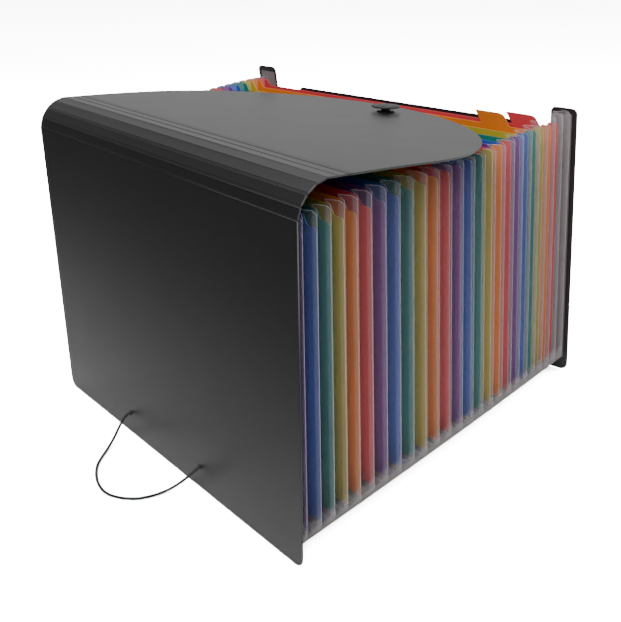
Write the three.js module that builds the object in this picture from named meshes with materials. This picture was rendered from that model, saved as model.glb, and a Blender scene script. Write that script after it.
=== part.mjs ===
// An accordion document file, standing on its long edge and fanned open.
//
// Two black covers hold twenty-four coloured dividers and twenty-five frosted
// pleats. The back cover stands upright in the plane Y = 0, and the dividers
// fan out behind it along +Y to the front cover. A flap hangs from the back
// cover by a band of narrow strips, each one a score line apart, and lies over
// the pleats. An elastic cord loops out of the back cover's lower edge.
//
// Units are millimetres, +Z is up, and the origin is the middle of the back
// cover's bottom edge. Every leaf is drawn flat in its own X-Z plane first, as
// it would lie in the closed file, and then placed in the fan.

import * as THREE from 'three';

// ---- Driving dimensions ----

const POCKETS = 25;
const COVER = { width: 330, thick: 1.2, corner: 9 };

// Back cover: plain, up to the first score line.
const BACK_HEIGHT = 229.5;

// Front cover: a centre bar between two taller ears, with a notch at each ear.
const FRONT = {
  barTop: 230.5, barHalf: 115, earTop: 246.5, earInner: 143, notch: 221,
  earCorner: 5, barCorner: 5, notchCorner: 2,
};

// Dividers: a plate with an ear at each side and one index tab on its top edge.
// The ears grow from the first divider's height to the last one's. The flap
// presses the tabs under it down, and the last ones stand free at full height.
// The plate's rim stands out between the pleats on each side of it.
const DIVIDER = {
  half: 155, thick: 0.6, bottom: 14.5, top: 222, corner: 5, earInner: 147, earFoot: 143.3,
  firstEar: 216, lastEar: 235, earCorner: 3, earBend: 1.5, earsFrom: 0.2,
};
const TAB = {
  half: 12.5, rise: 16.5, pressedRise: 8, firstFree: 23, lean: 6, sharp: 1.5, soft: 4,
  footCorner: 0.5, columns: 12, lastX: 128.3, pitch: 21,
};
const PLAIN_DIVIDERS = [21, 22];

// The dividers' colours, repeated in this order from the back cover: purple,
// blue, green, yellow, orange and red.
const COLOURS = [0x6a3a92, 0x3f74ba, 0x2f8f7c, 0xc9b23a, 0xe07a24, 0xcf4350];

// Pleats: a V of film that runs down one side, along the bottom and up the
// other. The last ones stand taller, up to the front cover's ears.
const PLEAT = {
  valleyHalf: 150.4, valleyBottom: 14.6, depth: 11.4, film: 0.5, gap: 0.35,
  firstTop: 229.5, lastTop: 244.5, riseFrom: 0.55,
};

// The fan, from the back cover (0) to the front cover (1).
const FAN = {
  turn: 11.7, lean: 10.79, roll: 1.1,
  sideIn: 65.15, sideLength: 356, sideBulge: 4.81,
};

// The pockets aren't evenly spread: the first third sits a little closer
// together, and the rest follows. shift is in pockets.
const SPREAD = { shift: 0.38, skew: 0.76, start: 0.2 };

// The closed stack: the first divider's place, and the step to each next leaf.
const CLOSED = { first: 5.2, pitch: 1.6 };

// The band of score lines and the flap beyond it. The band bends the same
// angle at each of its five lines.
const BAND = { strips: 4, pitch: 7.7, slit: 0.2, bend: 18.5 };
const FLAP = { straight: 80, round: 137, holeRadius: 2.6 };

// The button on the flap, and its place there.
const BUTTON = { rivet: 2.2, flange: 7, stem: 3.5, cap: 11.5, rim: 2.5, x: 6, along: 192 };

// The elastic cord: its two holes, and the loop that it makes on the table.
const CORD = { diameter: 2.4, sides: 8, steps: 34, holeRadius: 1.9 };
const CORD_HOLES = [[-55, 18.5], [47, 18.5]];
const CORD_ROUTE = [
  [-55, 0.7, 18.5], [-55, -3, 18.3], [-54.2, -8, 15.5], [-51.5, -14, 10.5], [-48, -20.5, 5.6],
  [-43.5, -28, 2.2], [-37, -36, 1.3], [-29, -44, 1.3], [-18, -51, 1.3], [-5, -56, 1.3],
  [7, -57.5, 1.3], [16, -55.5, 1.3], [24, -50.5, 1.3], [30, -44, 1.3], [33.5, -36, 1.3],
  [35.5, -28, 1.7], [37.5, -21, 3.3], [40, -14.5, 6.5], [43, -9, 11.2], [46, -4.5, 16.2],
  [47, -1.8, 18.2], [47, 0.7, 18.5],
];
const BARB = { length: 12, thick: 1.2, height: 2.4, gap: 0.3 };

const SURFACES = {
  cover: new THREE.MeshStandardMaterial({ color: 0x2b2b2d, roughness: 0.55, metalness: 0 }),
  film: new THREE.MeshStandardMaterial({ color: 0xd9dde0, roughness: 0.5, metalness: 0 }),
  button: new THREE.MeshStandardMaterial({ color: 0x141415, roughness: 0.3, metalness: 0 }),
  cord: new THREE.MeshStandardMaterial({ color: 0x101011, roughness: 0.9, metalness: 0 }),
};

// ---- The fan ----

// The covers and dividers are leaves 0 to POCKETS. A number between two leaves
// is a place in the pocket between them.

// Where a leaf lies in Y when the file is closed.
function closedDepth(leaf) {
  if (leaf === 0) return 0;
  return CLOSED.first + CLOSED.pitch * (leaf - 1);
}

// How far round the open fan a leaf is, from 0 to 1.
function fanPlace(leaf) {
  const even = leaf / POCKETS;
  const ramp = Math.min(1, even / SPREAD.start);
  const wave = Math.sin(2 * Math.PI * even ** SPREAD.skew);
  return even - (SPREAD.shift / POCKETS) * ramp * wave;
}

// The matrix that takes a leaf drawn in the plane Y = 0 to its place in the
// open fan. A leaf turns about the upright, leans back towards the back cover
// and rolls a little. Its height is the one at which the move from the closed
// stack to here is one plain turn about a fixed line.
function fanMatrix(leaf) {
  const place = fanPlace(leaf);
  const radians = (degrees) => THREE.MathUtils.degToRad(degrees * place);
  const turned = new THREE.Matrix4().makeRotationZ(radians(FAN.turn));
  turned.multiply(new THREE.Matrix4().makeRotationY(radians(FAN.roll)));
  turned.multiply(new THREE.Matrix4().makeRotationX(radians(FAN.lean)));
  if (leaf === 0) return turned;
  const spin = new THREE.Quaternion().setFromRotationMatrix(turned);
  const bulge = 4 * FAN.sideBulge * place * (1 - place);
  const corner = new THREE.Vector3(
    COVER.width / 2 - FAN.sideIn * place + bulge,
    FAN.sideLength * place,
    0,
  );
  const moveX = corner.x - COVER.width / 2;
  const moveY = corner.y - closedDepth(leaf);
  corner.z = -(moveX * spin.x + moveY * spin.y) / spin.z;
  const swung = new THREE.Vector3(COVER.width / 2, 0, 0).applyMatrix4(turned);
  return turned.setPosition(corner.sub(swung));
}

// ---- Outlines and plates ----

// A flat plate of a given outline, centred on the plane Y = 0.
function plate(outline, thick, curveSegments = 6) {
  const geometry = new THREE.ExtrudeGeometry(outline, {
    depth: thick, bevelEnabled: false, curveSegments,
  });
  geometry.translate(0, 0, -thick / 2);
  geometry.rotateX(Math.PI / 2);
  return geometry;
}

// An outline with its corners rounded: each point is [x, z, radius].
function roundedOutline(points) {
  const corners = points.map(([x, y, radius]) => ({ at: new THREE.Vector2(x, y), radius }));
  const outline = new THREE.Shape();
  corners.forEach(({ at, radius }, index) => {
    const before = corners[(index + corners.length - 1) % corners.length].at;
    const after = corners[(index + 1) % corners.length].at;
    const start = before.clone().sub(at).setLength(radius).add(at);
    const end = after.clone().sub(at).setLength(radius).add(at);
    if (index === 0) outline.moveTo(start.x, start.y);
    else outline.lineTo(start.x, start.y);
    if (radius > 0) outline.quadraticCurveTo(at.x, at.y, end.x, end.y);
  });
  outline.closePath();
  return outline;
}

function addRoundHole(outline, x, z, radius) {
  const hole = new THREE.Path();
  hole.absarc(x, z, radius, 0, 2 * Math.PI, true);
  outline.holes.push(hole);
}

function named(name, geometry, material) {
  const mesh = new THREE.Mesh(geometry, material);
  mesh.name = name;
  return mesh;
}

// ---- Covers and dividers ----

function backCover() {
  const half = COVER.width / 2;
  const outline = roundedOutline([
    [-half, 0, COVER.corner], [half, 0, COVER.corner],
    [half, BACK_HEIGHT - BAND.slit, 0], [-half, BACK_HEIGHT - BAND.slit, 0],
  ]);
  for (const [x, z] of CORD_HOLES) addRoundHole(outline, x, z, CORD.holeRadius);
  return named('back_cover', plate(outline, COVER.thick, 12), SURFACES.cover);
}

function frontCover() {
  const half = COVER.width / 2;
  const rightTop = [
    [half, FRONT.earTop, FRONT.earCorner],
    [FRONT.earInner, FRONT.earTop, FRONT.earCorner],
    [FRONT.earInner, FRONT.notch, FRONT.notchCorner],
    [FRONT.barHalf, FRONT.notch, FRONT.notchCorner],
    [FRONT.barHalf, FRONT.barTop, FRONT.barCorner],
  ];
  const leftTop = rightTop.map(([x, z, radius]) => [-x, z, radius]).reverse();
  const outline = roundedOutline([
    [-half, 0, COVER.corner], [half, 0, COVER.corner], ...rightTop, ...leftTop,
  ]);
  const mesh = named('front_cover', plate(outline, COVER.thick, 4), SURFACES.cover);
  mesh.applyMatrix4(fanMatrix(POCKETS));
  return mesh;
}

function tabCentre(number) {
  const column = (number - 1) % TAB.columns;
  return TAB.lastX - TAB.pitch * (TAB.columns - 1 - column);
}

function divider(number) {
  const { half, bottom, top, corner, earInner, earFoot } = DIVIDER;
  const place = fanPlace(number);
  const ear = THREE.MathUtils.lerp(
    DIVIDER.firstEar, DIVIDER.lastEar, THREE.MathUtils.smoothstep(place, DIVIDER.earsFrom, 1),
  );
  const points = [
    [-half, bottom, corner], [half, bottom, corner],
    [half, ear, DIVIDER.earCorner], [earInner, ear, DIVIDER.earBend], [earFoot, top, 0],
  ];
  if (!PLAIN_DIVIDERS.includes(number)) {
    const x = tabCentre(number);
    const tip = top + (number < TAB.firstFree ? TAB.pressedRise : TAB.rise);
    points.push(
      [x + TAB.half, top, TAB.footCorner],
      [x + TAB.half - TAB.lean, tip, TAB.soft],
      [x - TAB.half - TAB.lean, tip, TAB.sharp],
      [x - TAB.half, top, TAB.footCorner],
    );
  }
  points.push(
    [-earFoot, top, 0], [-earInner, ear, DIVIDER.earBend], [-half, ear, DIVIDER.earCorner],
  );
  const color = COLOURS[(number - 1) % COLOURS.length];
  const material = new THREE.MeshStandardMaterial({ color, roughness: 0.4, metalness: 0 });
  const name = `divider_${String(number).padStart(2, '0')}`;
  const mesh = named(name, plate(roundedOutline(points), DIVIDER.thick, 3), material);
  mesh.applyMatrix4(fanMatrix(number));
  return mesh;
}

// ---- Pleats ----

// The V section of one pleat. Each corner is [depth outwards, way across the
// pocket], where the way across runs from 0 at the leaf in front to 1 behind.
function pleatSection(index) {
  const pitch = FAN.sideLength / POCKETS;
  const leafGap = DIVIDER.thick / 2 + PLEAT.gap;
  const coverGap = COVER.thick / 2 + PLEAT.gap;
  const near = (index === 0 ? coverGap : leafGap) / pitch;
  const far = 1 - (index === POCKETS - 1 ? coverGap : leafGap) / pitch;
  const film = PLEAT.film / pitch;
  const notch = PLEAT.depth * (1 - 2 * film);
  return [
    [0, near], [PLEAT.depth, 0.5 - film / 2], [PLEAT.depth, 0.5 + film / 2], [0, far],
    [0, far - film], [notch, 0.5], [0, near + film],
  ];
}

// How tall the film stands at a place in the stack.
function pleatTop(leaf) {
  const rise = THREE.MathUtils.smoothstep(leaf / POCKETS, PLEAT.riseFrom, 1);
  return THREE.MathUtils.lerp(PLEAT.firstTop, PLEAT.lastTop, rise);
}

// Where a section corner goes at the four stations of the U: the left top, the
// two bottom corners and the right top.
function pleatStations(depth, leaf) {
  const x = PLEAT.valleyHalf + depth;
  const z = PLEAT.valleyBottom - depth;
  const top = pleatTop(leaf);
  return [[-x, top], [-x, z], [x, z], [x, top]];
}

function pleat(index) {
  const section = pleatSection(index);
  const sides = section.length;
  const stations = pleatStations(0, index).length;
  const positions = [];
  for (let station = 0; station < stations; station += 1) {
    for (const [depth, across] of section) {
      const leaf = index + across;
      const [x, z] = pleatStations(depth, leaf)[station];
      positions.push(...new THREE.Vector3(x, 0, z).applyMatrix4(fanMatrix(leaf)).toArray());
    }
  }
  const faces = [];
  for (let station = 0; station + 1 < stations; station += 1) {
    for (let side = 0; side < sides; side += 1) {
      const a = station * sides + side;
      const b = station * sides + ((side + 1) % sides);
      faces.push(a, b, b + sides, a, b + sides, a + sides);
    }
  }
  const lid = THREE.ShapeUtils.triangulateShape(
    section.map(([depth, across]) => new THREE.Vector2(depth, across * PLEAT.depth)), [],
  );
  const last = (stations - 1) * sides;
  for (const [a, b, c] of lid) {
    faces.push(a, c, b);
    faces.push(last + a, last + b, last + c);
  }
  const geometry = new THREE.BufferGeometry();
  geometry.setAttribute('position', new THREE.Float32BufferAttribute(positions, 3));
  geometry.setIndex(faces);
  const name = `gusset_${String(index + 1).padStart(2, '0')}`;
  return named(name, geometry, SURFACES.film);
}

// ---- Flap, its band and its button ----

function bandStrip(number) {
  const half = COVER.width / 2;
  const outline = roundedOutline([
    [-half, BAND.slit, 0], [half, BAND.slit, 0],
    [half, BAND.pitch - BAND.slit, 0], [-half, BAND.pitch - BAND.slit, 0],
  ]);
  return named(`hinge_strip_${number}`, plate(outline, COVER.thick), SURFACES.cover);
}

function flap() {
  const half = COVER.width / 2;
  const outline = new THREE.Shape();
  outline.moveTo(-half, BAND.slit);
  outline.lineTo(half, BAND.slit);
  outline.lineTo(half, FLAP.straight);
  outline.absellipse(0, FLAP.straight, half, FLAP.round, 0, Math.PI, false);
  outline.closePath();
  addRoundHole(outline, BUTTON.x, BUTTON.along, FLAP.holeRadius);
  return named('flap', plate(outline, COVER.thick, 18), SURFACES.cover);
}

// The button: its rivet fills the flap's hole, and its cap stands off the outer
// face. Each point is [radius, height above that face].
function button() {
  const profile = [
    [0, -COVER.thick], [BUTTON.rivet, -COVER.thick], [BUTTON.rivet, 0.3], [BUTTON.flange, 0.3],
    [BUTTON.flange - 1, 0.9], [BUTTON.stem, 1.1], [BUTTON.stem, 3], [BUTTON.cap - BUTTON.rim, 3.4],
    [BUTTON.cap, 4], [BUTTON.cap, 4.6], [BUTTON.cap - BUTTON.rim, 5.2], [0, 5.6],
  ].map(([radius, height]) => new THREE.Vector2(radius, height));
  const geometry = new THREE.LatheGeometry(profile, 24);
  geometry.rotateX(Math.PI);
  const mesh = named('button', geometry, SURFACES.button);
  mesh.position.set(BUTTON.x, -COVER.thick / 2, BUTTON.along);
  return mesh;
}

// Each strip is nested in the one before it, so the bends add up to the flap.
function bandAndFlap() {
  const band = new THREE.Group();
  band.position.z = BACK_HEIGHT;
  band.rotation.x = -THREE.MathUtils.degToRad(BAND.bend);
  let joint = band;
  for (let number = 1; number <= BAND.strips; number += 1) {
    joint.add(bandStrip(number));
    const next = new THREE.Group();
    next.position.z = BAND.pitch;
    next.rotation.x = -THREE.MathUtils.degToRad(BAND.bend);
    joint.add(next);
    joint = next;
  }
  joint.add(flap(), button());
  return band;
}

// ---- Elastic cord ----

function elasticCord() {
  const route = new THREE.CatmullRomCurve3(CORD_ROUTE.map((at) => new THREE.Vector3(...at)));
  const section = new THREE.Shape();
  for (let side = 0; side < CORD.sides; side += 1) {
    const angle = (2 * Math.PI * side) / CORD.sides;
    const x = (CORD.diameter / 2) * Math.cos(angle);
    const y = (CORD.diameter / 2) * Math.sin(angle);
    if (side === 0) section.moveTo(x, y);
    else section.lineTo(x, y);
  }
  section.closePath();
  const geometry = new THREE.ExtrudeGeometry(section, {
    steps: CORD.steps, extrudePath: route, bevelEnabled: false,
  });
  return named('elastic_cord', geometry, SURFACES.cord);
}

// The flat bar that keeps each end of the cord behind its hole.
function cordBarb(name, [x, z]) {
  const geometry = new THREE.BoxGeometry(BARB.length, BARB.thick, BARB.height);
  const mesh = named(name, geometry, SURFACES.button);
  mesh.position.set(x, CORD_ROUTE[0][1] + BARB.gap + BARB.thick / 2, z);
  return mesh;
}

// ---- The whole file ----

const file = new THREE.Group();
file.add(backCover(), frontCover(), bandAndFlap());
for (let number = 1; number < POCKETS; number += 1) file.add(divider(number));
for (let index = 0; index < POCKETS; index += 1) file.add(pleat(index));
file.add(elasticCord());
file.add(cordBarb('cord_barb_left', CORD_HOLES[0]));
file.add(cordBarb('cord_barb_right', CORD_HOLES[1]));

export default file;
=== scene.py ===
"""An expanding document file, fanned open on its long edge, with its cord on the table."""

import math
import bmesh
import bpy
import numpy as np
from mathutils import Matrix, Vector


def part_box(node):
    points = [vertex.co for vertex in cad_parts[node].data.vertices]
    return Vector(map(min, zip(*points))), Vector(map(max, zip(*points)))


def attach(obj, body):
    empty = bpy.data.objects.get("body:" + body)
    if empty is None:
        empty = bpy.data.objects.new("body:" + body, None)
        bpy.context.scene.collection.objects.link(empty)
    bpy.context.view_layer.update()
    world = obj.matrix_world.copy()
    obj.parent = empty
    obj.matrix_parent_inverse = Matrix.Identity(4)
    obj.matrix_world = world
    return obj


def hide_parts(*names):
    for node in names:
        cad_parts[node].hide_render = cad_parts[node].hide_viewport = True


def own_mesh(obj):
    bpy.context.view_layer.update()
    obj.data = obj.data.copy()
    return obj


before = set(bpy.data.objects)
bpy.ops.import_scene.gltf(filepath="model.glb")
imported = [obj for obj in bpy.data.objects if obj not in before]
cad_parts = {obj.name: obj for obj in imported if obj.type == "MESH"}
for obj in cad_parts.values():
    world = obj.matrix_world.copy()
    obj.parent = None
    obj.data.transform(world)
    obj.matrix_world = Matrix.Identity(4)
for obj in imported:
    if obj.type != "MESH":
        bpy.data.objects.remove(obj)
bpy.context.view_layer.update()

# Lengths are millimetres until a mesh is made, when MM turns them into metres.
MM = 0.001

# ---- Dimensions, as in the CAD ----

POCKETS = 25
COVER = {"width": 330, "thick": 1.2, "corner": 9}
BACK_HEIGHT = 229.5
FRONT = {
    "bar_top": 230.5, "bar_half": 115, "ear_top": 246.5, "ear_inner": 143, "notch": 221,
}
DIVIDER = {"half": 155, "thick": 0.6, "edge": 0.12, "bottom": 14.5, "corner": 1.5, "top": 222,
           "last_lift": 7.5, "lift_from": 20, "ear_inner": 147, "ear_foot": 143.3,
           "ear_corner": 3, "ear_notch": 1.5, "first_ear": 216, "last_ear": 235, "ear_from": 0.2}
TAB = {"half": 12.5, "rise": 16.5, "pressed_rise": 8, "first_free": 23, "lean": 6,
       "sharp": 1.5, "soft": 4, "root": 0.5, "columns": 12, "last": 128.3, "pitch": 21}
PLAIN_DIVIDERS = (21, 22)
PLEAT = {"half": 150.4, "bottom": 3.4, "fold_bottom": 16.2, "depth": 11.4, "corner": 3.5,
         "first_top": 229.5, "last_top": 244.5, "left_drop": 8.5, "rise_from": 0.55}
SPREAD = {"shift": 0.38, "skew": 0.76, "start": 0.2}
FAN = {"turn": 11.7, "lean": 10.79, "roll": 1.1, "in": 65.15, "length": 356, "bulge": 4.81}
CLOSED = {"first": 5.2, "pitch": 1.6}
BAND = {"strips": 4, "pitch": 7.7, "bend": 18.5, "score_half": 0.42}
FLAP = {"straight": 80, "round": 137, "sag": 3.5}
BUTTON = {"x": 6, "along": 192}
CORD_HOLES = ((-55, 18.5), (47, 18.5))
CORD_ROUTE = (
    (-55, 0.7, 18.5), (-55, -3, 18.3), (-54.2, -8, 15.5), (-51.5, -14, 10.5),
    (-48, -20.5, 5.6), (-43.5, -28, 2.2), (-37, -36, 1.3), (-29, -44, 1.3),
    (-18, -51, 1.3), (-5, -56, 1.3), (7, -57.5, 1.3), (16, -55.5, 1.3),
    (24, -50.5, 1.3), (30, -44, 1.3), (33.5, -36, 1.3), (35.5, -28, 1.7),
    (37.5, -21, 3.3), (40, -14.5, 6.5), (43, -9, 11.2), (46, -4.5, 16.2),
    (47, -1.8, 18.2), (47, 0.7, 18.5),
)
CORD_DIAMETER = 2.4
CORD_HOLE_RADIUS = 1.9

# ---- Camera ----

CAMERA = {"sensor": 36, "lens": 53.02, "place": (0.53514, -0.28696, 0.37618),
          "yaw": -51.44, "pitch": 22.99, "roll": -0.60}

camera_data = bpy.data.cameras.new("camera")
camera_data.sensor_fit = "VERTICAL"
camera_data.sensor_height = CAMERA["sensor"]
camera_data.lens = CAMERA["lens"]
camera = bpy.data.objects.new("camera", camera_data)
bpy.context.scene.collection.objects.link(camera)
yaw, pitch, roll = (math.radians(CAMERA[key]) for key in ("yaw", "pitch", "roll"))
forward = Vector((math.sin(yaw) * math.cos(pitch), math.cos(yaw) * math.cos(pitch),
                  -math.sin(pitch)))
level = Vector((math.cos(yaw), -math.sin(yaw), 0))
above = level.cross(forward)
right = math.cos(roll) * level + math.sin(roll) * above
up = math.cos(roll) * above - math.sin(roll) * level
turned = Matrix((right, up, -forward)).transposed().to_4x4()
camera.matrix_world = Matrix.Translation(CAMERA["place"]) @ turned
bpy.context.scene.camera = camera

# ---- Fan ----


def smoothstep(value, start, stop):
    t = min(1, max(0, (value - start) / (stop - start)))
    return t * t * (3 - 2 * t)


def closed_depth(leaf):
    return 0 if leaf == 0 else CLOSED["first"] + CLOSED["pitch"] * (leaf - 1)


def fan_place(leaf):
    """How far round the open fan a leaf is, from 0 to 1."""
    even = leaf / POCKETS
    ramp = min(1, even / SPREAD["start"])
    wave = math.sin(2 * math.pi * even ** SPREAD["skew"])
    return even - SPREAD["shift"] / POCKETS * ramp * wave


def fan_matrix(leaf):
    """Takes a leaf drawn in the plane y = 0 to its place in the open fan, in mm."""
    place = fan_place(leaf)
    angles = {key: math.radians(FAN[key] * place) for key in ("turn", "lean", "roll")}
    turned = (Matrix.Rotation(angles["turn"], 4, "Z") @ Matrix.Rotation(angles["roll"], 4, "Y")
              @ Matrix.Rotation(angles["lean"], 4, "X"))
    if leaf == 0:
        return turned
    spin = turned.to_quaternion()
    half = COVER["width"] / 2
    corner = Vector((half - FAN["in"] * place + 4 * FAN["bulge"] * place * (1 - place),
                     FAN["length"] * place, 0))
    move_y = corner.y - closed_depth(leaf)
    corner.z = -((corner.x - half) * spin.x + move_y * spin.y) / spin.z
    return Matrix.Translation(corner - turned @ Vector((half, 0, 0))) @ turned


LEAVES = [fan_matrix(leaf) for leaf in range(POCKETS + 1)]


def leaf_body(index):
    if index == 0:
        return "back_cover"
    return "front_cover" if index == POCKETS else f"divider_{index:02d}"


# ---- Materials ----


class Surface:
    """A material with a Principled shader, and short calls to build its nodes."""

    def __init__(self, name, color, roughness, **values):
        self.material = bpy.data.materials.new(name)
        self.material.use_nodes = True
        self.tree = self.material.node_tree
        self.shader = self.tree.nodes["Principled BSDF"]
        self.shader.inputs["Base Color"].default_value = (*color, 1)
        self.shader.inputs["Roughness"].default_value = roughness
        for key, value in values.items():
            self.shader.inputs[key.replace("_", " ")].default_value = value
        self.place = self.node("ShaderNodeTexCoord").outputs["Object"]

    def node(self, kind, links=(), **values):
        made = self.tree.nodes.new(kind)
        for key, value in values.items():
            if hasattr(made, key):
                setattr(made, key, value)
            else:
                made.inputs[key.replace("_", " ")].default_value = value
        for socket, source in dict(links).items():
            self.tree.links.new(source, made.inputs[socket])
        return made

    def noise(self, scale, detail, stretch=None):
        source = self.place
        if stretch:
            source = self.node("ShaderNodeMapping", {"Vector": source}, Scale=stretch)
            source = source.outputs["Vector"]
        return self.node("ShaderNodeTexNoise", {"Vector": source}, Scale=scale,
                         Detail=detail).outputs["Fac"]

    def spread(self, factor, low, high, start=0.3, stop=0.7):
        """Maps a factor from start..stop to low..high."""
        made = self.node("ShaderNodeMapRange", {"Value": factor})
        made.inputs["From Min"].default_value = start
        made.inputs["From Max"].default_value = stop
        made.inputs["To Min"].default_value = low
        made.inputs["To Max"].default_value = high
        return made.outputs["Result"]

    def tint(self, factor, first, second, start=0.3, stop=0.7):
        """Runs the base colour from first to second as the factor goes from start to stop."""
        made = self.node("ShaderNodeValToRGB", {"Fac": factor})
        made.color_ramp.elements[0].position = start
        made.color_ramp.elements[1].position = stop
        made.color_ramp.elements[0].color = (*first, 1)
        made.color_ramp.elements[1].color = (*second, 1)
        self.tree.links.new(made.outputs["Color"], self.shader.inputs["Base Color"])

    def rough(self, factor, low, high):
        self.tree.links.new(self.spread(factor, low, high), self.shader.inputs["Roughness"])

    def bump(self, height, distance, strength, under=None):
        links = {"Height": height}
        if under:
            links["Normal"] = under.outputs["Normal"]
        made = self.node("ShaderNodeBump", links, Distance=distance, Strength=strength)
        self.tree.links.new(made.outputs["Normal"], self.shader.inputs["Normal"])
        return made


def cover_plastic(name, color, roughness):
    """Black sheet with a fine leathery grain and faint handling marks."""
    surface = Surface(name, color, roughness)
    marks = surface.noise(9, 4)
    surface.tint(marks, [0.94 * c for c in color], [1.06 * c for c in color])
    surface.rough(surface.noise(35, 3), roughness - 0.006, roughness + 0.008)
    grain = surface.node("ShaderNodeTexVoronoi", {"Vector": surface.place}, Scale=1100.0)
    base = surface.bump(grain.outputs["Distance"], 0.00004, 0.35)
    surface.bump(surface.noise(2600, 2), 0.00002, 0.4, base)
    return surface.material


def coloured_sheet(name, color):
    """Coloured sheet that lets some light through, with a fine drawn texture."""
    surface = Surface(name, color, 0.42, Specular_IOR_Level=0.4)
    marks = surface.noise(14, 3, stretch=(1, 1, 0.35))
    surface.tint(marks, [0.86 * c for c in color], [min(1, 1.1 * c) for c in color])
    surface.rough(surface.noise(60, 3), 0.36, 0.5)
    surface.bump(surface.noise(1500, 2), 0.00003, 0.4)
    glow = surface.node("ShaderNodeBsdfTranslucent", Color=(*color, 1))
    out = surface.tree.nodes["Material Output"]
    mixed = surface.node("ShaderNodeMixShader", Fac=0.12)
    surface.tree.links.new(surface.shader.outputs["BSDF"], mixed.inputs[1])
    surface.tree.links.new(glow.outputs["BSDF"], mixed.inputs[2])
    surface.tree.links.new(mixed.outputs["Shader"], out.inputs["Surface"])
    return surface.material


def frosted_film(name, color, alpha, roughness, foot=None):
    """Thin film with a frosted face, slightly cloudy where no foot colour is given.

    foot is the colour of painted shade it turns to, opaque, where its mesh attribute "foot" is 1.
    """
    surface = Surface(name, color, roughness, Alpha=alpha, Specular_IOR_Level=0.35)
    surface.rough(surface.noise(40, 2), roughness - 0.02, roughness + 0.03)
    surface.bump(surface.noise(1400, 2), 0.00001, 0.15)
    if foot:
        # Painted shade: the film darkens towards the foot colour and turns opaque as the
        # attribute rises.
        share = surface.node("ShaderNodeAttribute", attribute_name="foot").outputs["Fac"]
        surface.tint(share, color, foot, 0.0, 1.0)
        surface.tree.links.new(surface.spread(share, alpha, 1.0, 0, 1),
                               surface.shader.inputs["Alpha"])
    else:
        cloud = surface.noise(12, 2, stretch=(1, 1, 0.3))
        surface.tint(cloud, [0.86 * c for c in color], color)
    return surface.material


def woven_cord(name):
    """Black braid: two sets of strands that cross as they wind round the cord."""
    surface = Surface(name, (0.012, 0.012, 0.013), 0.8, Sheen_Weight=0.25,
                      Sheen_Roughness=0.4)
    around = surface.node("ShaderNodeUVMap", uv_map="braid").outputs["UV"]
    strands = []
    for lean in (1, -1):
        turned = surface.node("ShaderNodeMapping", {"Vector": around},
                              Rotation=(0, 0, lean * math.radians(38)))
        wave = surface.node("ShaderNodeTexWave", {"Vector": turned.outputs["Vector"]},
                            Scale=0.9, Distortion=0.4)
        strands.append(wave.outputs["Fac"])
    braid = surface.node("ShaderNodeMath", operation="MAXIMUM")
    surface.tree.links.new(strands[0], braid.inputs[0])
    surface.tree.links.new(strands[1], braid.inputs[1])
    surface.tint(braid.outputs["Value"], (0.004, 0.004, 0.004), (0.03, 0.03, 0.032), 0.2, 0.95)
    surface.bump(braid.outputs["Value"], 0.00025, 0.8)
    return surface.material


def moulded_plastic(name, color, roughness):
    """Black moulded plastic with a fine, uneven gloss."""
    surface = Surface(name, color, roughness, Specular_IOR_Level=0.3)
    surface.tint(surface.noise(120, 3), [0.8 * c for c in color], [1.25 * c for c in color])
    surface.rough(surface.noise(260, 3), roughness - 0.06, roughness + 0.08)
    surface.bump(surface.noise(1800, 2), 0.00002, 0.3)
    return surface.material


COVER_PLASTIC = cover_plastic("cover_plastic_grained", (0.011, 0.011, 0.012), 0.36)
BLACK_PLASTIC = moulded_plastic("black_plastic_moulded", (0.010, 0.010, 0.011), 0.42)
FILM_COLOR = (0.50, 0.48, 0.51)
# Painted shade: the pleats' film turns this dark colour, opaque, at their bottoms and seams, in
# place of the shadowed stack of folds under the file.
FOOT_SHADE_COLOR = (0.19, 0.176, 0.165)
FILM = frosted_film("frosted_film_face", FILM_COLOR, 0.08, 0.38, FOOT_SHADE_COLOR)
FILM_CREASE = frosted_film("frosted_film_crease", FILM_COLOR, 0.16, 0.42, FOOT_SHADE_COLOR)
FILM_EDGE = frosted_film("frosted_film_edge", FILM_COLOR, 0.36, 0.38)
FILM_FOOT_SHADE = frosted_film("film_foot_painted_shade", FOOT_SHADE_COLOR, 1.0, 0.45)
FILM_WELD = frosted_film("frosted_film_weld", (0.36, 0.33, 0.34), 0.5, 0.5)
CORD_WEAVE = woven_cord("elastic_cord_weave")
SHEETS = [
    ("purple", (0.150, 0.035, 0.270)),
    ("blue", (0.030, 0.105, 0.420)),
    ("green", (0.008, 0.200, 0.150)),
    ("yellow", (0.500, 0.360, 0.035)),
    ("orange", (0.700, 0.185, 0.015)),
    ("red", (0.560, 0.050, 0.065)),
]
SHEET_MATERIALS = [coloured_sheet(f"{name}_sheet_face", color) for name, color in SHEETS]
# Painted backlight: where the film is seen against the light it is painted opaque in a lightened
# colour of the sheet beside it, in place of that sheet shining through.
BACKLIT_SHEET_FILMS = [
    frosted_film(f"{name}_film_painted_backlight", [0.12 + 0.88 * c for c in color], 1.0, 0.4)
    for name, color in SHEETS
]

# ---- Making pieces ----


def add_piece(name, mesh, materials, body, replaced=()):
    piece = bpy.data.objects.new(name, mesh)
    bpy.context.scene.collection.objects.link(piece)
    for material in materials:
        mesh.materials.append(material)
    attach(piece, body)
    if replaced:
        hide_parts(*replaced)
    return piece


def mesh_from(name, points, faces, marks=None):
    """points are in mm. marks gives each face's material number."""
    mesh = bpy.data.meshes.new(name)
    mesh.from_pydata([Vector(point) * MM for point in points], [], faces)
    for index, polygon in enumerate(mesh.polygons):
        polygon.use_smooth = True
        if marks:
            polygon.material_index = marks[index]
    mesh.validate()
    mesh.update()
    return mesh


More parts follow.
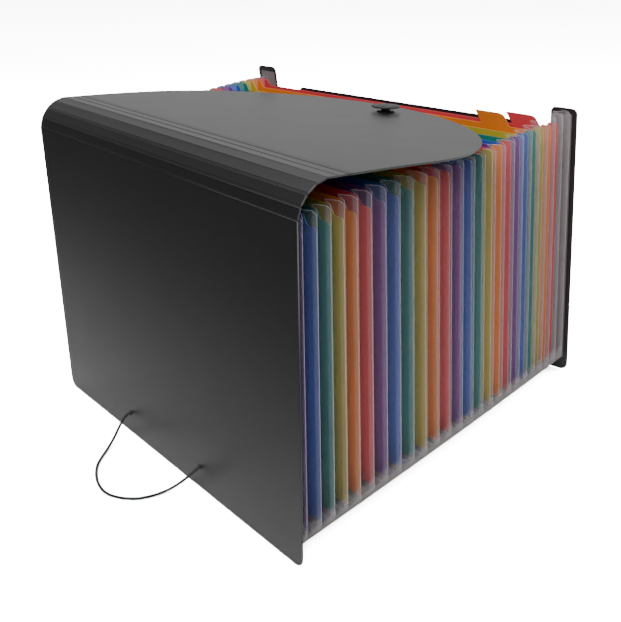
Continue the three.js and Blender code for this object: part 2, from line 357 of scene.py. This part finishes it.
def arc(centre, radius, start, stop, steps):
    """Points of an arc, from start to stop in degrees, both included."""
    angles = [math.radians(start + (stop - start) * i / steps) for i in range(steps + 1)]
    return [(centre[0] + radius * math.cos(a), centre[1] + radius * math.sin(a)) for a in angles]


def rounded(points, steps=8):
    """An outline with rounded corners: each point is (x, z, radius)."""
    outline = []
    for index, (x, z, radius) in enumerate(points):
        at = Vector((x, z))
        if radius == 0:
            outline.append((x, z))
            continue
        before = (Vector(points[index - 1][:2]) - at).normalized()
        after = (Vector(points[(index + 1) % len(points)][:2]) - at).normalized()
        start, stop = at + radius * before, at + radius * after
        for i in range(steps + 1):
            t = i / steps
            outline.append(tuple(start * (1 - t) ** 2 + at * 2 * t * (1 - t) + stop * t * t))
    return outline


def plate_mesh(name, loops, thick, edge, matrix):
    """A plate with softened edges, drawn in x-z about y = 0 and then placed."""
    curve = bpy.data.curves.new(name, "CURVE")
    curve.dimensions = "2D"
    curve.fill_mode = "BOTH"
    curve.extrude = thick / 2 - edge
    curve.bevel_depth = edge
    curve.bevel_resolution = 2
    curve.offset = -edge
    for loop in loops:
        spline = curve.splines.new("POLY")
        spline.points.add(len(loop) - 1)
        for point, (x, z) in zip(spline.points, loop):
            point.co = (x, z, 0, 1)
        spline.use_cyclic_u = True
    holder = bpy.data.objects.new(name, curve)
    bpy.context.scene.collection.objects.link(holder)
    bpy.context.view_layer.update()
    graph = bpy.context.evaluated_depsgraph_get()
    mesh = bpy.data.meshes.new_from_object(holder.evaluated_get(graph))
    bpy.data.objects.remove(holder)
    bpy.data.curves.remove(curve)
    work = bmesh.new()
    work.from_mesh(mesh)
    bmesh.ops.remove_doubles(work, verts=work.verts, dist=0.002)
    bmesh.ops.transform(work, matrix=Matrix.Rotation(math.pi / 2, 4, "X"), verts=work.verts)
    bmesh.ops.transform(work, matrix=matrix, verts=work.verts)
    bmesh.ops.scale(work, vec=(MM, MM, MM), verts=work.verts)
    bmesh.ops.recalc_face_normals(work, faces=work.faces)
    work.to_mesh(mesh)
    work.free()
    return mesh


def circle(x, z, radius, steps=24):
    return arc((x, z), radius, 0, 360 - 360 / steps, steps - 1)


# ---- Covers ----

EDGE = 0.35
half = COVER["width"] / 2
flat = Matrix.Identity(4)

back_outline = rounded([
    (-half, 0, COVER["corner"]), (half, 0, COVER["corner"]),
    (half, BACK_HEIGHT, 0), (-half, BACK_HEIGHT, 0),
], 12)
holes = [circle(x, z, CORD_HOLE_RADIUS)[::-1] for x, z in CORD_HOLES]
back_mesh = plate_mesh("back_panel", [back_outline, *holes], COVER["thick"], EDGE, flat)
add_piece("back_panel", back_mesh, [COVER_PLASTIC], "back_cover",
          ["back_cover"])

ear = [
    (half, FRONT["ear_top"], 5), (FRONT["ear_inner"], FRONT["ear_top"], 5),
    (FRONT["ear_inner"], FRONT["notch"], 2), (FRONT["bar_half"], FRONT["notch"], 2),
    (FRONT["bar_half"], FRONT["bar_top"], 5),
]
front_outline = rounded([
    (-half, 0, COVER["corner"]), (half, 0, COVER["corner"]), *ear,
    *[(-x, z, radius) for x, z, radius in reversed(ear)],
], 12)
front_mesh = plate_mesh("front_panel", [front_outline], COVER["thick"], EDGE, LEAVES[-1])
add_piece("front_panel", front_mesh, [COVER_PLASTIC], "front_cover",
          ["front_cover"])

# ---- Band and flap ----

# The section beside a score line: distance from it, and how far it has grown from the groove's
# half thickness (0) to the sheet's (1). A lip stands beside the groove.
SCORE_PROFILE = ((0, -0.9), (0.45, -0.6), (0.8, 1.1), (1.4, 1))


def band_matrices():
    """The place of each strip, then of the flap, as the CAD nests them."""
    bend = Matrix.Rotation(-math.radians(BAND["bend"]), 4, "X")
    matrix = Matrix.Translation((0, 0, BACK_HEIGHT)) @ bend
    for _ in range(BAND["strips"]):
        yield matrix
        matrix = matrix @ Matrix.Translation((0, 0, BAND["pitch"])) @ bend
    yield matrix


def bar_section(length, lines=(), last_round=True):
    """The side view of a strip: rounded at its score lines, thicker between them.

    Points are (y, z), outer face at negative y, in order round the section.
    """
    full, thin = COVER["thick"] / 2, BAND["score_half"]
    outer, inner = [], []
    stops = [0, *lines, length]
    for low, high in zip(stops, stops[1:]):
        section = [(low + away, amount) for away, amount in SCORE_PROFILE]
        section += [(high - away, amount) for away, amount in reversed(SCORE_PROFILE[1:])]
        for z, amount in section:
            outer.append((-(thin + (full - thin) * amount), z))
            inner.append((full * 0.9 if amount > 0 else thin + 0.05, z))
    outer.append((-thin, length) if last_round else (-full, length))
    inner.append((thin, length) if last_round else (full, length))
    start = [(-thin * math.sin(math.radians(a)), -thin * math.cos(math.radians(a)))
             for a in (-60, -30, 0, 30, 60)]
    stop = [(thin * -math.sin(math.radians(a)), length + thin * math.cos(math.radians(a)))
            for a in (60, 30, 0, -30, -60)] if last_round else []
    return start + outer + stop + inner[::-1]


def bar_mesh(name, section, matrix):
    """A section (y, z) drawn along x over the full width."""
    points, faces = [], []
    count = len(section)
    stations = [-half, -half + 0.3, half - 0.3, half]
    for index, x in enumerate(stations):
        shrink = 0.75 if index in (0, len(stations) - 1) else 1
        points += [matrix @ Vector((x, y * shrink, z)) for y, z in section]
    for s in range(len(stations) - 1):
        for i in range(count):
            j = (i + 1) % count
            faces.append((s * count + i, s * count + j, (s + 1) * count + j, (s + 1) * count + i))
    faces.append(tuple(range(count))[::-1])
    faces.append(tuple(range((len(stations) - 1) * count, len(stations) * count)))
    mesh = mesh_from(name, points, faces)
    work = bmesh.new()
    work.from_mesh(mesh)
    bmesh.ops.recalc_face_normals(work, faces=work.faces)
    work.to_mesh(mesh)
    work.free()
    mesh.set_sharp_from_angle(angle=math.radians(20))
    return mesh


places = list(band_matrices())
for number in range(BAND["strips"]):
    name = f"score_strip_{number + 1}"
    add_piece(name, bar_mesh(name, bar_section(BAND["pitch"]), places[number]),
              [COVER_PLASTIC], f"hinge_strip_{number + 1}",
              [f"hinge_strip_{number + 1}"])

flap_place = places[-1]
FLAP_ROOT = 2.2 * BAND["pitch"]
root_section = bar_section(FLAP_ROOT, (BAND["pitch"], 2 * BAND["pitch"]), last_round=False)


def solid_sheet(name, points, faces, thick, edge):
    """A sheet given by its middle surface, made solid with softened edges."""
    holder = bpy.data.objects.new(name, mesh_from(name, points, faces))
    bpy.context.scene.collection.objects.link(holder)
    solid = holder.modifiers.new("solid", "SOLIDIFY")
    solid.thickness = thick * MM
    solid.offset = 0
    solid.use_even_offset = False
    soft = holder.modifiers.new("soft", "BEVEL")
    soft.width = edge * MM
    soft.segments = 3
    soft.limit_method = "ANGLE"
    soft.angle_limit = math.radians(60)
    bpy.context.view_layer.update()
    graph = bpy.context.evaluated_depsgraph_get()
    mesh = bpy.data.meshes.new_from_object(holder.evaluated_get(graph))
    bpy.data.objects.remove(holder)
    mesh.set_sharp_from_angle(angle=math.radians(50))
    return mesh


def flap_half(along):
    """Half the flap's width at a distance from its last score line."""
    over = max(0.0, along - FLAP["straight"]) / FLAP["round"]
    return half * math.sqrt(max(0.0, 1 - over * over))


def flap_sag(x, along):
    """How far the loose end of the flap hangs below its plane."""
    reach = smoothstep(along, 20, FLAP["straight"] + FLAP["round"])
    return FLAP["sag"] * reach * (1 + 0.15 * (x / half) ** 2)


def flap_sheet():
    round_rows = 40
    rows = list(np.linspace(FLAP_ROOT - 0.3, FLAP["straight"], 14))
    rows += [FLAP["straight"] + FLAP["round"] * math.sin(0.5 * math.pi * i / round_rows)
             for i in range(1, round_rows)]
    columns = 48
    points, faces = [], []
    for along in rows:
        for c in range(columns + 1):
            # Columns crowd towards the rim, where the outline turns.
            x = flap_half(along) * math.sin(0.5 * math.pi * (2 * c / columns - 1))
            points.append(flap_place @ Vector((x, flap_sag(x, along), along)))
    for r in range(len(rows) - 1):
        for c in range(columns):
            a = r * (columns + 1) + c
            faces.append((a, a + 1, a + columns + 2, a + columns + 1))
    tip = len(points)
    end = FLAP["straight"] + FLAP["round"]
    points.append(flap_place @ Vector((0, flap_sag(0, end), end)))
    last = (len(rows) - 1) * (columns + 1)
    faces += [(last + c, last + c + 1, tip) for c in range(columns)]
    return solid_sheet("flap_sheet", points, faces, COVER["thick"], EDGE)


add_piece("flap_sheet", flap_sheet(), [COVER_PLASTIC], "flap", ["flap"])
add_piece("flap_root", bar_mesh("flap_root", root_section, flap_place), [COVER_PLASTIC],
          "flap")

# ---- Button ----


def turned_mesh(name, profile, matrix, steps=64):
    """A closed profile of (radius, height), turned about the height."""
    points, faces = [], []
    for radius, height in profile:
        ring = [(radius * math.cos(2 * math.pi * i / steps),
                 radius * math.sin(2 * math.pi * i / steps), height) for i in range(steps)]
        points += [matrix @ Vector(point) for point in ring]
    for row in range(len(profile) - 1):
        for i in range(steps):
            j = (i + 1) % steps
            faces.append((row * steps + i, row * steps + j, (row + 1) * steps + j,
                          (row + 1) * steps + i))
    mesh = mesh_from(name, points, faces)
    work = bmesh.new()
    work.from_mesh(mesh)
    bmesh.ops.remove_doubles(work, verts=work.verts, dist=1e-6)
    bmesh.ops.recalc_face_normals(work, faces=work.faces)
    work.to_mesh(mesh)
    work.free()
    mesh.set_sharp_from_angle(angle=math.radians(40))
    return mesh


button_profile = [
    (0, -1.2), (2.2, -1.2), (2.2, 0), (6.2, 0), (7, 0.2), (7, 0.5), (6.6, 0.75), (4.2, 0.95),
    (3.7, 1.15), (3.5, 1.5), (3.5, 2.5), (3.8, 2.8), (5, 3), (9, 3.4), (10.9, 3.75),
    (11.4, 4), (11.5, 4.3), (11.35, 4.7), (10.8, 4.95), (9.6, 5.1), (9.2, 5.02), (8.8, 5.12),
    (5, 5.45), (0, 5.6),
]
button_sag = flap_sag(BUTTON["x"], BUTTON["along"])
button_place = (flap_place @ Matrix.Translation(
    (BUTTON["x"], button_sag - COVER["thick"] / 2, BUTTON["along"])
) @ Matrix.Rotation(math.pi / 2, 4, "X"))
add_piece("button_cap", turned_mesh("button_cap", button_profile, button_place), [BLACK_PLASTIC],
          "flap", ["button"])

# ---- Dividers ----


def divider_mesh(number):
    """A coloured sheet with its two ears and, on most, one tab."""
    edge, foot = DIVIDER["half"], DIVIDER["ear_foot"]
    bottom, corner = DIVIDER["bottom"], DIVIDER["corner"]
    lift = smoothstep(number, DIVIDER["lift_from"], POCKETS - 1)
    top = DIVIDER["top"] + DIVIDER["last_lift"] * lift
    rise = smoothstep(fan_place(number), DIVIDER["ear_from"], 1)
    ear = DIVIDER["first_ear"] + (DIVIDER["last_ear"] - DIVIDER["first_ear"]) * rise
    points = [(-edge, bottom, corner), (edge, bottom, corner),
              (edge, ear, DIVIDER["ear_corner"]),
              (DIVIDER["ear_inner"], ear, DIVIDER["ear_notch"]), (foot, top, 0)]
    if number not in PLAIN_DIVIDERS:
        column = (number - 1) % TAB["columns"]
        centre = TAB["last"] - TAB["pitch"] * (TAB["columns"] - 1 - column)
        left, right = centre - TAB["half"], centre + TAB["half"]
        tip = DIVIDER["top"] + TAB["pressed_rise" if number < TAB["first_free"] else "rise"]
        points += [(right, top, TAB["root"]), (right - TAB["lean"], tip, TAB["soft"]),
                   (left - TAB["lean"], tip, TAB["sharp"]), (left, top, TAB["root"])]
    points += [(-foot, top, 0), (-DIVIDER["ear_inner"], ear, DIVIDER["ear_notch"]),
               (-edge, ear, DIVIDER["ear_corner"])]
    name = f"divider_sheet_{number:02d}"
    mesh = plate_mesh(name, [rounded(points, 6)], DIVIDER["thick"], DIVIDER["edge"],
                      LEAVES[number])
    return name, mesh


for number in range(1, POCKETS):
    name, mesh = divider_mesh(number)
    add_piece(name, mesh, [SHEET_MATERIALS[(number - 1) % len(SHEETS)]], leaf_body(number),
              [f"divider_{number:02d}"])

# ---- Pleats ----

# Places across a pleat, from the leaf in front (-1) over the fold (0) to the leaf behind (1).
ACROSS = (-1, -0.8, -0.55, -0.3, -0.14, -0.05, 0, 0.05, 0.14, 0.3, 0.55, 0.8, 1)
SOFT = 0.14
CREASE = 0.3
LEAF_GAP = 0.03
BEAD_RADIUS = 0.22
# Height in mm over which the painted shade at a pleat's bottom fades out.
FOOT_SHADE_HEIGHT = 11
BACKLIGHT_FROM = 0.03
SEAM = {"behind": 0.035, "lap": 1.5, "across": (-1, -0.5, 0, 0.5, 1)}
# The numbers of a pleat's materials, in the order in which the piece is given them.
FACE_MARK, CREASE_MARK, EDGE_MARK, FOOT_MARK, BACKLIGHT_MARK = range(5)


def pleat_height(across):
    """How far out the film stands, from 0 at the leaves to 1 at the fold."""
    fold = (math.sqrt(across * across + SOFT * SOFT) - SOFT) / (math.sqrt(1 + SOFT * SOFT) - SOFT)
    return 1 - fold


def pleat_point(index, across, station):
    """A point of the film. station is (side, height): side -1 left, 1 right, or x below.

    The fold stands outwards at the sides and upwards along the bottom.
    """
    out = pleat_height(across)
    depth = PLEAT["depth"] * out
    bottom = PLEAT["bottom"] + (PLEAT["fold_bottom"] - PLEAT["bottom"]) * out
    kind, value = station
    if kind == "side":
        side, z = value
        corner = PLEAT["corner"]
        over = max(0.0, depth - (PLEAT["depth"] - corner))
        rise = smoothstep((index + 0.5 + across / 2) / POCKETS, PLEAT["rise_from"], 1)
        top = PLEAT["first_top"] + (PLEAT["last_top"] - PLEAT["first_top"]) * rise
        top += math.sqrt(max(0.0, corner * corner - over * over)) - corner
        if side < 0:
            top -= PLEAT["left_drop"] * rise
        local = Vector((side * (PLEAT["half"] + depth), 0, bottom + (top - bottom) * z))
    else:
        local = Vector((value * (PLEAT["half"] + depth), 0, bottom))
    return fan_matrix(index + 0.5 + across * (0.5 - LEAF_GAP)) @ local


SIDE_STEPS = (1, 0.975, 0.93, 0.8, 0.6, 0.4, 0.22, 0.1, 0.067, 0.03, 0)
STATIONS = [("side", (-1, z)) for z in SIDE_STEPS]
STATIONS += [("below", x) for x in (-0.8, -0.4, 0, 0.4, 0.8)]
STATIONS += [("side", (1, z)) for z in reversed(SIDE_STEPS)]


def add_bead(points, faces, marks, line, radius, sides=5):
    """A thin bead of film along a line: a cut edge or a fold that catches the light."""
    base = len(points)
    for i, at in enumerate(line):
        ahead = line[min(i + 1, len(line) - 1)] - line[max(i - 1, 0)]
        ahead.normalize()
        side = ahead.cross(Vector((0.3, 0.5, 0.81))).normalized()
        lift = ahead.cross(side)
        for s in range(sides):
            angle = 2 * math.pi * s / sides
            points.append(at + radius * (math.cos(angle) * side + math.sin(angle) * lift))
    for i in range(len(line) - 1):
        for s in range(sides):
            a, b = base + i * sides + s, base + i * sides + (s + 1) % sides
            faces.append((a, b, b + sides, a + sides))
            marks.append(EDGE_MARK)
    last = base + (len(line) - 1) * sides
    faces.append(tuple(range(base, base + sides))[::-1])
    faces.append(tuple(range(last, last + sides)))
    marks += [EDGE_MARK, EDGE_MARK]


def film_marks(index, width):
    """The material number of each face between the stations, width faces at a time."""
    creased = {c for c in range(width) if abs(ACROSS[c] + ACROSS[c + 1]) < 2 * CREASE}
    marks = []
    for kind, value in STATIONS[1:]:
        if kind == "below":
            marks += [FOOT_MARK] * width
        # On the left side, above a small height, faces take the painted backlight of the sheet
        # beside it.
        elif value[0] < 0 and value[1] >= BACKLIGHT_FROM and index < POCKETS - 1:
            marks += [BACKLIGHT_MARK] * width
        else:
            marks += [CREASE_MARK if c in creased else FACE_MARK for c in range(width)]
    return marks


def pleat_mesh(name, index):
    """One pocket's film, with the seam under its divider and beads along its edges and fold."""
    grid = [[pleat_point(index, across, station) for across in ACROSS] for station in STATIONS]
    points = [point for row in grid for point in row]
    width = len(ACROSS)
    faces = [
        (r * width + c, r * width + c + 1, (r + 1) * width + c + 1, (r + 1) * width + c)
        for r in range(len(STATIONS) - 1) for c in range(width - 1)
    ]
    marks = film_marks(index, width - 1)
    seam = len(points)
    for x in SEAM["across"]:
        for z in (PLEAT["bottom"], DIVIDER["bottom"] + SEAM["lap"]):
            points.append(fan_matrix(index + SEAM["behind"]) @ Vector((x * PLEAT["half"], 0, z)))
    strips = len(SEAM["across"]) - 1
    faces += [(seam + 2 * i, seam + 2 * i + 2, seam + 2 * i + 3, seam + 2 * i + 1)
              for i in range(strips)]
    marks += [FOOT_MARK] * strips
    fold = [row[width // 2] for row in grid]
    for line in (grid[0], grid[-1], fold):
        add_bead(points, faces, marks, line, BEAD_RADIUS)
    mesh = mesh_from(name, points, faces, marks=marks)
    # The attribute "foot" is how much painted shade the film takes: 1 at the pleat's bottom,
    # fading to none higher up.
    foot_shade = mesh.attributes.new("foot", "FLOAT", "POINT")
    for r, (kind, value) in enumerate(STATIONS):
        height = 0 if kind == "below" else value[1] * PLEAT["first_top"]
        for c in range(width):
            foot_shade.data[r * width + c].value = max(0, 1 - height / FOOT_SHADE_HEIGHT)
    return mesh


for index in range(POCKETS):
    name = f"pleat_{index + 1:02d}"
    films = [FILM, FILM_CREASE, FILM_EDGE, FILM_FOOT_SHADE, BACKLIT_SHEET_FILMS[index % len(SHEETS)]]
    piece = add_piece(name, pleat_mesh(name, index), films, leaf_body(index),
                      [f"gusset_{index + 1:02d}"])
    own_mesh(piece)

# The last pleat's film is welded flat on the front cover's inner face, up to its ears.
WELD = {"inner": 144.5, "outer": 161, "bottom": 14, "top": 242, "away": 0.9, "rows": 12}
for side_name, side in (("left", -1), ("right", 1)):
    points = []
    for i in range(WELD["rows"] + 1):
        z = WELD["bottom"] + (WELD["top"] - WELD["bottom"]) * i / WELD["rows"]
        points += [LEAVES[-1] @ Vector((side * WELD[edge], -WELD["away"], z))
                   for edge in ("inner", "outer")]
    faces = [(2 * i, 2 * i + 1, 2 * i + 3, 2 * i + 2) for i in range(WELD["rows"])]
    add_piece(f"film_weld_{side_name}", mesh_from(f"film_weld_{side_name}", points, faces),
              [FILM_WELD], "front_cover")

# ---- Cord ----

CORD_SIDES = 16
CORD_STEPS = 220
STEPS_BETWEEN = 12
BARB_EDGE = 0.4


def smooth_route(route, steps):
    """A smooth curve through the route's points, in even steps, in mm."""
    points = [Vector(at) for at in route]
    points = [2 * points[0] - points[1], *points, 2 * points[-1] - points[-2]]
    dense = []
    for before, start, stop, after in zip(points, points[1:], points[2:], points[3:]):
        knots = [0.0]
        for a, b in ((before, start), (start, stop), (stop, after)):
            knots.append(knots[-1] + math.sqrt((b - a).length))
        for i in range(STEPS_BETWEEN):
            t = knots[1] + (knots[2] - knots[1]) * i / STEPS_BETWEEN
            level_1 = [
                (knots[j + 1] - t) / (knots[j + 1] - knots[j]) * p
                + (t - knots[j]) / (knots[j + 1] - knots[j]) * q
                for j, (p, q) in enumerate(((before, start), (start, stop), (stop, after)))
            ]
            level_2 = [
                (knots[j + 2] - t) / (knots[j + 2] - knots[j]) * level_1[j]
                + (t - knots[j]) / (knots[j + 2] - knots[j]) * level_1[j + 1]
                for j in (0, 1)
            ]
            dense.append((knots[2] - t) / (knots[2] - knots[1]) * level_2[0]
                         + (t - knots[1]) / (knots[2] - knots[1]) * level_2[1])
    dense.append(points[-2])
    along = [0.0]
    for a, b in zip(dense, dense[1:]):
        along.append(along[-1] + (b - a).length)
    even, j = [], 0
    for i in range(steps + 1):
        target = along[-1] * i / steps
        while j < len(along) - 2 and along[j + 1] < target:
            j += 1
        share = (target - along[j]) / (along[j + 1] - along[j])
        even.append(dense[j].lerp(dense[j + 1], share))
    return even, along[-1]


route, cord_length = smooth_route(CORD_ROUTE, CORD_STEPS)
points, faces = [], []
side = Vector((0, 0, 1))
for i, at in enumerate(route):
    ahead = (route[min(i + 1, len(route) - 1)] - route[max(i - 1, 0)]).normalized()
    side = (side - side.dot(ahead) * ahead).normalized()
    lift = ahead.cross(side)
    for s in range(CORD_SIDES):
        angle = 2 * math.pi * s / CORD_SIDES
        points.append(at + CORD_DIAMETER / 2 * (math.cos(angle) * side + math.sin(angle) * lift))
rows = len(route) - 1
for i in range(rows):
    for s in range(CORD_SIDES):
        a, b = i * CORD_SIDES + s, i * CORD_SIDES + (s + 1) % CORD_SIDES
        faces.append((a, b, b + CORD_SIDES, a + CORD_SIDES))
faces.append(tuple(range(CORD_SIDES))[::-1])
faces.append(tuple(range(rows * CORD_SIDES, (rows + 1) * CORD_SIDES)))
cord_mesh = mesh_from("cord_loop", points, faces)
braid = cord_mesh.uv_layers.new(name="braid")
for polygon in cord_mesh.polygons:
    row, ring = divmod(polygon.index, CORD_SIDES)
    if row >= rows:
        continue
    # The corners run round the ring, then one row along: u is in cord widths.
    for loop, (u, v) in zip(polygon.loop_indices, ((0, 0), (1, 0), (1, 1), (0, 1))):
        braid.data[loop].uv = ((ring + u) / CORD_SIDES * math.pi,
                               (row + v) / rows * cord_length / CORD_DIAMETER)
cord_piece = add_piece("cord_loop", cord_mesh, [CORD_WEAVE], "back_cover",
                       ["elastic_cord"])

for side_name in ("left", "right"):
    low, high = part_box(f"cord_barb_{side_name}")
    bar = bpy.data.meshes.new(f"barb_{side_name}")
    work = bmesh.new()
    bmesh.ops.create_cube(work, size=1)
    bmesh.ops.scale(work, vec=Vector(high) - Vector(low), verts=work.verts)
    bmesh.ops.translate(work, vec=(Vector(high) + Vector(low)) / 2, verts=work.verts)
    bmesh.ops.bevel(work, geom=list(work.edges), offset=BARB_EDGE * MM, segments=3,
                    affect="EDGES")
    work.to_mesh(bar)
    work.free()
    add_piece(f"barb_{side_name}", bar, [BLACK_PLASTIC], "back_cover",
              [f"cord_barb_{side_name}"])

# ---- Floor and light ----

# Brightness where the camera sees it, and near and far in reflections. Places are in metres.
FLOOR = {"half": 9, "seen": 24.0, "near": 0.95, "far": 0.03, "near_from": 0.0,
         "far_from": -0.30, "falloff": 2.0}
STUDIO = {"back": 0.77, "front": 0.04, "seen": 6.0, "half_turn": 0.45}
LIGHTS = (
    {"name": "key", "place": (1.1, 1.3, 1.6), "aim": (0.05, 0.2, 0.1), "size": 1.4, "power": 28},
    {"name": "top", "place": (-0.4, 0.2, 2.0), "aim": (0, 0.15, 0.1), "size": 1.8, "power": 12},
    {"name": "side", "place": (0.95, -1.15, 1.2), "aim": (0.16, 0.15, 0.1), "size": 1.1,
     "power": 25},
    {"name": "front", "place": (0.1, -0.45, 1.1), "aim": (0, -0.12, 0), "size": 0.7,
     "power": 7.5},
)

floor_mesh = bpy.data.meshes.new("floor")
corners = [(x * FLOOR["half"], y * FLOOR["half"], 0)
           for x, y in ((-1, -1), (1, -1), (1, 1), (-1, 1))]
floor_mesh.from_pydata(corners, [], [(0, 1, 2, 3)])
floor = bpy.data.objects.new("floor", floor_mesh)
bpy.context.scene.collection.objects.link(floor)
paper = Surface("floor_paper", (0.9, 0.9, 0.9), 0.75)
ahead = paper.node("ShaderNodeSeparateXYZ", {"Vector": paper.place}).outputs["Y"]
# The camera sees an evenly bright sheet. In reflections its colour is a painted pool of light
# that falls off in front of the file, as a lit sheet does away from its lamp.
lit = paper.spread(ahead, 0, 1, FLOOR["far_from"], FLOOR["near_from"])
curve = paper.node("ShaderNodeMath", {0: lit}, operation="POWER")
curve.inputs[1].default_value = FLOOR["falloff"]
fade = paper.spread(curve.outputs["Value"], FLOOR["far"], FLOOR["near"], 0, 1)
seen = paper.node("ShaderNodeLightPath").outputs["Is Camera Ray"]
tone = paper.node("ShaderNodeMix", {"Factor": seen, "A": fade}, data_type="FLOAT")
tone.inputs["B"].default_value = FLOOR["seen"]
speck = paper.node("ShaderNodeMath", operation="MULTIPLY")
paper.tree.links.new(tone.outputs["Result"], speck.inputs[0])
paper.tree.links.new(paper.spread(paper.noise(3, 2), 0.98, 1.02), speck.inputs[1])
paper.tree.links.new(speck.outputs["Value"], paper.shader.inputs["Base Color"])
floor_mesh.materials.append(paper.material)

# The studio is bright behind and above the file and dim in front of it, with a white backdrop.
world = bpy.data.worlds.new("studio")
world.use_nodes = True
sky = world.node_tree
direction = sky.nodes.new("ShaderNodeTexCoord").outputs["Generated"]
split = sky.nodes.new("ShaderNodeSeparateXYZ")
sky.links.new(direction, split.inputs["Vector"])
level = sky.nodes.new("ShaderNodeMapRange")
for key, value in (("From Min", -STUDIO["half_turn"]), ("From Max", STUDIO["half_turn"]),
                   ("To Min", STUDIO["front"]), ("To Max", STUDIO["back"])):
    level.inputs[key].default_value = value
sky.links.new(split.outputs["Y"], level.inputs["Value"])
backdrop = sky.nodes.new("ShaderNodeMix")
backdrop.data_type = "FLOAT"
sky.links.new(sky.nodes.new("ShaderNodeLightPath").outputs["Is Camera Ray"],
              backdrop.inputs["Factor"])
sky.links.new(level.outputs["Result"], backdrop.inputs["A"])
backdrop.inputs["B"].default_value = STUDIO["seen"]
sky.nodes["Background"].inputs["Color"].default_value = (1, 1, 1, 1)
sky.links.new(backdrop.outputs["Result"], sky.nodes["Background"].inputs["Strength"])
bpy.context.scene.world = world


def soft_light(name, place, aim, size, power):
    """A square area light at a place, turned towards its aim."""
    data = bpy.data.lights.new(name, "AREA")
    data.shape = "SQUARE"
    data.size = size
    data.energy = power
    light = bpy.data.objects.new(name, data)
    light.location = place
    light.rotation_euler = (Vector(aim) - Vector(place)).to_track_quat("-Z", "Y").to_euler()
    bpy.context.scene.collection.objects.link(light)


for light in LIGHTS:
    soft_light(**light)
